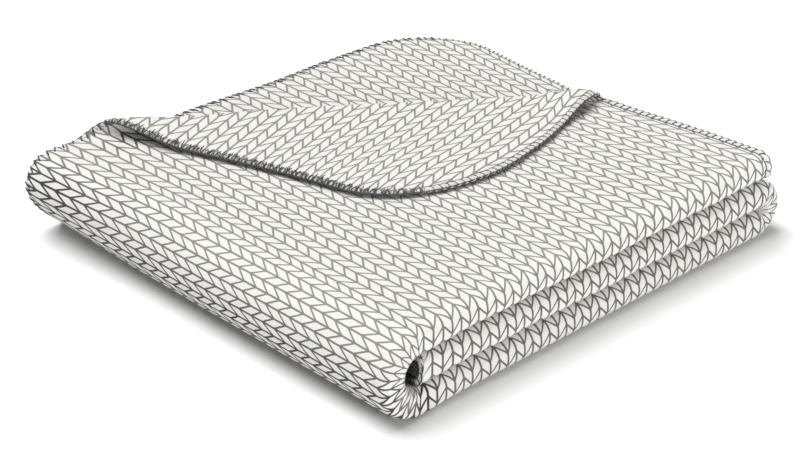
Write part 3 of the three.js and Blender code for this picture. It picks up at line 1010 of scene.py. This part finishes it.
# %% Loose ends under the turned corner
loose_along = np.arange(*TURNED_SIDE, PITCH * 1.1)
loose_jitter = seeded.uniform(-1, 1, (4, len(loose_along)))
loose_share = np.linspace(0, 1, 4)[None, :]
near_crease = fading(loose_along, TURNED_SIDE[0] + 40, TURNED_SIDE[0] + 80)
loose_length = 2.6 + 1.4 * loose_jitter[0] + (3.0 + 1.6 * loose_jitter[3]) * near_crease
loose_aside = -1.0 + 2.2 * loose_jitter[1]
loose_places = loose_along[:, None] + loose_aside[:, None] * loose_share
loose_in = -loose_length[:, None] * loose_share
loose_height = 0.3 + 0.6 * loose_jitter[2][:, None] + loose_share
loose_radius = 0.6 - 0.3 * loose_share
loose_tubes = sweep(loose_places, loose_in, loose_height, loose_radius, sides=4)
loose_ends = join_tubes("loose_ends", [loose_tubes])

# %% [markdown]
# The brushed cloth
#
# Close up, the cloth is a fine weave with a brushed nap. Both the cloth and its rolled edge show it, so it
# is a node group that is built once and used in both materials. It gives a height for the bump and a
# slight shade, both from the place on the flat cloth in metres.


# %% A small helper for shader nodes
def add_node(tree, kind, inputs=(), **settings):
    """Adds a node, sets its properties, and connects or fills its inputs.

    The inputs are a list in the node's own order, or a dict with their names or numbers."""
    node = tree.nodes.new(kind)
    for name, value in settings.items():
        setattr(node, name, value)
    for key, value in inputs.items() if isinstance(inputs, dict) else enumerate(inputs):
        if isinstance(value, bpy.types.NodeSocket):
            tree.links.new(value, node.inputs[key])
        elif value is not None:
            node.inputs[key].default_value = value
    return node


def maths(tree, operation, *values, clamp=False):
    return add_node(tree, "ShaderNodeMath", values, operation=operation, use_clamp=clamp).outputs[0]


def new_group(name, inputs, outputs):
    """A node group with named inputs and outputs, and its input and output nodes."""
    group = bpy.data.node_groups.new(name, "ShaderNodeTree")
    for socket_name, kind, value in inputs:
        socket = group.interface.new_socket(socket_name, in_out="INPUT", socket_type=kind)
        if value is not None:
            socket.default_value = value
    for socket_name, kind in outputs:
        group.interface.new_socket(socket_name, in_out="OUTPUT", socket_type=kind)
    given_values = group.nodes.new("NodeGroupInput").outputs
    return group, given_values, group.nodes.new("NodeGroupOutput").inputs


# %% The brushed cloth group
FLOAT, VECTOR = "NodeSocketFloat", "NodeSocketVector"
FINE_SCALE, BROAD_SCALE = 1400.0, 110.0
WEAVE_HEIGHT, WEAVE_SHADE = 0.25, 0.1
FINE_SHARE, MOTTLE_SHARE = 0.5, 0.66
brushed, given, result = new_group(
    "Brushed cloth",
    [("Place", VECTOR, None), ("Threads per metre", FLOAT, 700.0), ("Nap", FLOAT, 0.6)],
    [("Height", FLOAT), ("Shade", FLOAT)],
)
scaled = add_node(brushed, "ShaderNodeVectorMath", [given["Place"]], operation="SCALE")
brushed.links.new(given["Threads per metre"], scaled.inputs["Scale"])
apart = add_node(brushed, "ShaderNodeSeparateXYZ", [scaled.outputs[0]]).outputs
warp = maths(brushed, "SINE", maths(brushed, "MULTIPLY", apart[0], math.pi))
weft = maths(brushed, "SINE", maths(brushed, "MULTIPLY", apart[1], math.pi))
weave = maths(brushed, "MULTIPLY", warp, weft)
fine_noise = {"Vector": given["Place"], "Scale": FINE_SCALE, "Detail": 3.0, "Roughness": 0.6}
broad_noise = {"Vector": given["Place"], "Scale": BROAD_SCALE, "Detail": 2.0, "Roughness": 0.5}
fine = add_node(brushed, "ShaderNodeTexNoise", fine_noise)
broad = add_node(brushed, "ShaderNodeTexNoise", broad_noise)
nap = maths(brushed, "MULTIPLY", fine.outputs[0], given["Nap"])
threads = maths(brushed, "MULTIPLY", weave, WEAVE_HEIGHT)
brushed.links.new(maths(brushed, "ADD", nap, threads), result["Height"])
mottle = maths(brushed, "MULTIPLY_ADD", fine.outputs[0], FINE_SHARE, broad.outputs[0])
dip = maths(brushed, "MULTIPLY", weave, WEAVE_SHADE)
brushed.links.new(maths(brushed, "MULTIPLY_ADD", mottle, MOTTLE_SHARE, dip), result["Shade"])
print("Made the group", brushed.name)

# %% [markdown]
# The printed herringbone
#
# The print is ink on the surface, so it is a colour and not a shape. It could be a painted image, but lines
# that are worked out stay sharp at any distance. A column line is where the column number is whole. A
# stroke is where the stroke number, less the zigzag, is whole. The distance to the nearer of the two says
# how dark the ink is.

# %% The herringbone group
LINE_BLEND = 0.8
herringbone, given, result = new_group(
    "Herringbone print",
    [
        ("Place", VECTOR, None),
        ("Column line", FLOAT, 0.95),
        ("Stroke line", FLOAT, 0.8),
        ("Softness", FLOAT, 0.35),
        ("Wobble", FLOAT, 0.0),
    ],
    [("Ink", FLOAT)],
)
apart = add_node(herringbone, "ShaderNodeSeparateXYZ", [given["Place"]]).outputs
wavy_noise = {"Vector": given["Place"], "Scale": 0.9, "Detail": 2.0}
wavy = add_node(herringbone, "ShaderNodeTexNoise", wavy_noise)
off_middle = maths(herringbone, "SUBTRACT", wavy.outputs[0], 0.5)
shaken = maths(herringbone, "MULTIPLY", off_middle, given["Wobble"])
column = maths(herringbone, "ADD", apart[0], shaken)
row = maths(herringbone, "ADD", apart[1], shaken)
column_gap = maths(herringbone, "MULTIPLY", maths(herringbone, "PINGPONG", column, 0.5), COLUMN)
zigzag = maths(herringbone, "MULTIPLY", maths(herringbone, "PINGPONG", column, 1.0), ZIGZAG)
stroke_gap = maths(herringbone, "PINGPONG", maths(herringbone, "SUBTRACT", row, zigzag), 0.5)
stroke_slope = ZIGZAG * STROKE / COLUMN
stroke_mm = maths(herringbone, "MULTIPLY", stroke_gap, STROKE / math.hypot(1, stroke_slope))
column_over = maths(herringbone, "SUBTRACT", column_gap, given["Column line"])
stroke_over = maths(herringbone, "SUBTRACT", stroke_mm, given["Stroke line"])
nearest = maths(herringbone, "SMOOTH_MIN", column_over, stroke_over, LINE_BLEND)
below = maths(herringbone, "SUBTRACT", 0.0, given["Softness"])
ink = add_node(
    herringbone,
    "ShaderNodeMapRange",
    {"Value": nearest, "From Min": below, "From Max": given["Softness"], "To Min": 1.0, "To Max": 0.0},
    interpolation_type="SMOOTHSTEP",
)
herringbone.links.new(ink.outputs[0], result["Ink"])
print("Made the group", herringbone.name)

# %% [markdown]
# The cloth's material
#
# The cloth is a warm white with mid-grey ink. It has no gloss, but its nap catches a little light at the
# rim, which the sheen of the Principled shader gives. The ink soaks in unevenly, so its colour takes some
# of the mottled shade as well. On the folds, the lower layers and under the turned corner the ink is
# painted
# darker and its lines a little wider: this is painted shade, which each point of the mesh carries as an
# attribute that the material reads. Inside the round fold the cloth is painted nearly black as painted
# shade.

# %% Printed cloth
CLOTH_WHITE = (0.712, 0.704, 0.674, 1)
CLOTH_SHADE = (0.6, 0.591, 0.562, 1)
INK = (0.178, 0.176, 0.166, 1)
INK_FADED = (0.265, 0.261, 0.247, 1)
# Painted shade: a near black for the inside of the round fold, and darker ink for the folds and rolls.
PAINTED_SHADE_BLACK = (0.012, 0.012, 0.012, 1)
INK_SHADED = (0.02, 0.02, 0.019, 1)
INK_SHADED_FADED = (0.05, 0.049, 0.046, 1)
COLUMN_LINE, STROKE_LINE, SHADED_WIDER = 0.95, 0.8, 0.2
GATHERED_KEPT = 0.25
DARKEST = 0.92


def new_material(name):
    material = bpy.data.materials.new(name)
    material.use_nodes = True
    tree = material.node_tree
    shader = tree.nodes["Principled BSDF"]
    return material, tree, shader


def mix_colours(tree, share, first, second):
    """Mixes two colours. In this node their sockets are numbers 6 and 7, and the mix comes out of 2."""
    inputs = {0: share, 6: first, 7: second}
    return add_node(tree, "ShaderNodeMix", inputs, data_type="RGBA").outputs[2]


def place_group(tree, group, inputs):
    return add_node(tree, "ShaderNodeGroup", inputs, node_tree=group).outputs


printed, tree, shader = new_material("printed cloth")
flat_place = add_node(tree, "ShaderNodeUVMap", uv_map="flat").outputs[0]
print_place = add_node(tree, "ShaderNodeUVMap", uv_map="print").outputs[0]
nap_out = place_group(tree, brushed, {"Place": flat_place})
# The attribute read here is the painted ink shade: it darkens the ink as painted shade and widens the lines
# a little.
depth = add_node(tree, "ShaderNodeAttribute", attribute_name="painted ink shade").outputs["Fac"]
painted_shade_and_ink_fade = add_node(tree, "ShaderNodeAttribute", attribute_name="painted_shade_and_ink_fade").outputs["Fac"]
thicker = maths(tree, "POWER", depth, 4.0)
column_line = maths(tree, "MULTIPLY_ADD", thicker, SHADED_WIDER, COLUMN_LINE)
stroke_line = maths(tree, "MULTIPLY_ADD", thicker, SHADED_WIDER, STROKE_LINE)
ink_out = place_group(tree, herringbone, {
    "Place": print_place,
    "Column line": column_line,
    "Stroke line": stroke_line,
    "Wobble": 0.08,
})
white = mix_colours(tree, nap_out["Shade"], CLOTH_SHADE, CLOTH_WHITE)
grey = mix_colours(tree, nap_out["Shade"], INK, INK_FADED)
shaded_grey = mix_colours(tree, nap_out["Shade"], INK_SHADED, INK_SHADED_FADED)
ink_colour = mix_colours(tree, depth, grey, shaded_grey)
# Below 0 this attribute fades the ink; above 0 it paints the cloth towards near black as painted shade.
gathered = maths(tree, "ADD", painted_shade_and_ink_fade, 1.0, clamp=True)
kept_share = maths(tree, "MULTIPLY_ADD", gathered, 1 - GATHERED_KEPT, GATHERED_KEPT)
kept_ink = maths(tree, "MULTIPLY", ink_out["Ink"], kept_share)
printed_colour = mix_colours(tree, kept_ink, white, ink_colour)
painted_shade_share = maths(tree, "MULTIPLY", painted_shade_and_ink_fade, DARKEST, clamp=True)
cloth_colour = mix_colours(tree, painted_shade_share, printed_colour, PAINTED_SHADE_BLACK)
tree.links.new(cloth_colour, shader.inputs["Base Color"])
rough = add_node(tree, "ShaderNodeMapRange", {"Value": nap_out["Shade"], "To Min": 0.98, "To Max": 0.86})
tree.links.new(rough.outputs[0], shader.inputs["Roughness"])
bump = add_node(
    tree, "ShaderNodeBump", {"Strength": 0.5, "Distance": 0.0006, "Height": nap_out["Height"]}
)
tree.links.new(bump.outputs[0], shader.inputs["Normal"])
shader.inputs["Sheen Weight"].default_value = 0.08
shader.inputs["Sheen Roughness"].default_value = 0.6
shader.inputs["Specular IOR Level"].default_value = 0.1
cloth.data.materials.append(printed)
print(printed.name, "has", len(tree.nodes), "nodes")

# %% [markdown]
# The rim's material
#
# On the two ends the rim shows the print, so it takes the cloth's material. On the long sides the yarn
# pulls plain cloth over the edge. That is the same white with the same nap, only without ink. In the hole
# of the round fold and along the turned corner's edge the rim is painted darker, as painted shade.

# %% Plain cloth of the rim on the long sides
plain, tree, shader = new_material("plain rim cloth")
flat_place = add_node(tree, "ShaderNodeUVMap", uv_map="flat").outputs[0]
nap_out = place_group(tree, brushed, {"Place": flat_place, "Nap": 0.8})
# Painted shade: the rim is painted darker in the hole of the round fold and along the turned corner's edge.
painted_shade_and_ink_fade = add_node(tree, "ShaderNodeAttribute", attribute_name="painted_shade_and_ink_fade").outputs["Fac"]
painted_shade_share = maths(tree, "MULTIPLY", painted_shade_and_ink_fade, DARKEST, clamp=True)
white = mix_colours(tree, nap_out["Shade"], CLOTH_SHADE, CLOTH_WHITE)
tree.links.new(mix_colours(tree, painted_shade_share, white, PAINTED_SHADE_BLACK), shader.inputs["Base Color"])
bump = add_node(
    tree, "ShaderNodeBump", {"Strength": 0.6, "Distance": 0.0008, "Height": nap_out["Height"]}
)
tree.links.new(bump.outputs[0], shader.inputs["Normal"])
shader.inputs["Roughness"].default_value = 0.92
shader.inputs["Sheen Weight"].default_value = 0.25
shader.inputs["Specular IOR Level"].default_value = 0.25
edge_rim.data.materials.append(printed)
edge_rim.data.materials.append(plain)
face_sides = side_share(corner_along[:, :, 0] + 0 * corner_angle[:, :, 0]).ravel() > 0.5
edge_rim.data.polygons.foreach_set("material_index", face_sides.astype(np.int32))
print(int(face_sides.sum()), "faces of the rim are plain")

# %% [markdown]
# The yarn's material
#
# The stitches are a thick dark-grey yarn. Wool-like yarn is two or more strands twisted together, so a
# stripe that runs slantwise over a fine noise gives both the twist and the fuzz.

# %% Dark yarn
YARN_BLACK = (0.02, 0.02, 0.021, 1)
YARN_GREY = (0.1, 0.1, 0.102, 1)
yarn, tree, shader = new_material("dark yarn")
place = add_node(tree, "ShaderNodeTexCoord").outputs["Object"]
twist = add_node(
    tree,
    "ShaderNodeTexWave",
    {"Vector": place, "Scale": 420.0, "Distortion": 3.0, "Detail": 2.0},
    bands_direction="DIAGONAL",
)
fuzz = add_node(tree, "ShaderNodeTexNoise", {"Vector": place, "Scale": 2200.0, "Detail": 3.0})
strands = maths(tree, "MULTIPLY", twist.outputs[1], fuzz.outputs[0])
tree.links.new(mix_colours(tree, strands, YARN_BLACK, YARN_GREY), shader.inputs["Base Color"])
bump = add_node(tree, "ShaderNodeBump", {"Strength": 0.6, "Distance": 0.0004, "Height": strands})
tree.links.new(bump.outputs[0], shader.inputs["Normal"])
shader.inputs["Roughness"].default_value = 0.9
shader.inputs["Sheen Weight"].default_value = 0.3
STITCH_PIECES = (end_stitches, end_cord, side_stitches, loose_ends)
for piece in STITCH_PIECES:
    piece.data.materials.append(yarn)
print(yarn.name, "is on", len(STITCH_PIECES), "pieces")

# %% [markdown]
# Floor and light
#
# The blanket lies on a plain pale floor without walls. Most of the light comes from above and a little from
# behind. It is a sun lamp with a wide angle, which stands for a very large soft lamp. The white sky is dim,
# so the shadows close to the blanket stay dark, and two low lamps in front brighten the rolled layers and
# the round fold.

# %% The floor
FLOOR_HALF = 6.0
FLOOR_GREY = (0.84, 0.84, 0.84, 1)
floor = make_object(
    "floor",
    np.array([
        [-FLOOR_HALF, -FLOOR_HALF, 0], [FLOOR_HALF, -FLOOR_HALF, 0],
        [FLOOR_HALF, FLOOR_HALF, 0], [-FLOOR_HALF, FLOOR_HALF, 0],
    ]),
    [[0, 1, 2, 3]],
    smooth=False,
)
floor_paint, tree, shader = new_material("pale floor")
shader.inputs["Base Color"].default_value = FLOOR_GREY
shader.inputs["Roughness"].default_value = 1.0
shader.inputs["Specular IOR Level"].default_value = 0.0
floor.data.materials.append(floor_paint)
print("The floor is", 2 * FLOOR_HALF, "metres wide")

# %% The light
SKY_STRENGTH = 0.32
SUN_STRENGTH = 3.5
SUN_WIDTH = math.radians(46)
SUN_DIRECTION = (0.2, -0.31, -1)
scene = bpy.context.scene
world = bpy.data.worlds.new("soft white room")
world.use_nodes = True
background = world.node_tree.nodes["Background"]
background.inputs["Color"].default_value = (1, 1, 1, 1)
background.inputs["Strength"].default_value = SKY_STRENGTH
scene.world = world


def add_soft_light(name, power, size, place, target=(0, 0, 0.04)):
    data = bpy.data.lights.new(name, "AREA")
    data.energy = power
    data.size = size
    light = bpy.data.objects.new(name, data)
    light.location = place
    toward = Vector(target) - Vector(place)
    light.rotation_euler = toward.to_track_quat("-Z", "Y").to_euler()
    scene.collection.objects.link(light)
    return light


sun_data = bpy.data.lights.new("overhead light", "SUN")
sun_data.energy = SUN_STRENGTH
sun_data.angle = SUN_WIDTH
sun = bpy.data.objects.new("overhead light", sun_data)
sun.rotation_euler = Vector(SUN_DIRECTION).to_track_quat("-Z", "Y").to_euler()
scene.collection.objects.link(sun)
add_soft_light("right fill light", power=38, size=0.8, place=(0.3, -2.4, 0.25))
add_soft_light("left fill light", power=9, size=0.8, place=(-2.1, -1.1, 0.4))
scene.view_settings.view_transform = "Standard"
scene.view_settings.look = "None"

# %% [markdown]
# The camera
#
# The camera stands about two metres away and looks down on a corner of the stack at 29 degrees. Its place
# was worked out from the edges of the folded blanket, so the picture and the photograph can be compared.

# %% The camera
CAMERA_TARGET = (87.5, 103.5, 75.4)
CAMERA_DISTANCE = 1939.0
CAMERA_DOWN = math.radians(29.09)
CAMERA_TURN = math.radians(-43.56)
SENSOR = 36
PICTURE_PIXELS, FOCAL_PIXELS = 800, 2578.0
looking = Vector((
    math.cos(CAMERA_DOWN) * -math.sin(CAMERA_TURN),
    math.cos(CAMERA_DOWN) * math.cos(CAMERA_TURN),
    -math.sin(CAMERA_DOWN),
))
target = Vector(CAMERA_TARGET) - Vector((*FOOTPRINT_MIDDLE, 0))
camera_data = bpy.data.cameras.new("camera")
camera_data.lens = FOCAL_PIXELS / PICTURE_PIXELS * SENSOR
camera_data.sensor_width = SENSOR
camera = bpy.data.objects.new("camera", camera_data)
camera.location = (target - looking * CAMERA_DISTANCE) / 1000
camera.rotation_euler = looking.to_track_quat("-Z", "Y").to_euler()
scene.collection.objects.link(camera)
scene.camera = camera
print("The camera is at", camera.location)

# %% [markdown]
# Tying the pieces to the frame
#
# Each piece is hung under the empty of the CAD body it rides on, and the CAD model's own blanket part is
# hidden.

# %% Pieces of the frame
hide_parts("blanket")
for piece in (cloth, edge_rim, *STITCH_PIECES):
    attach(piece, "root")
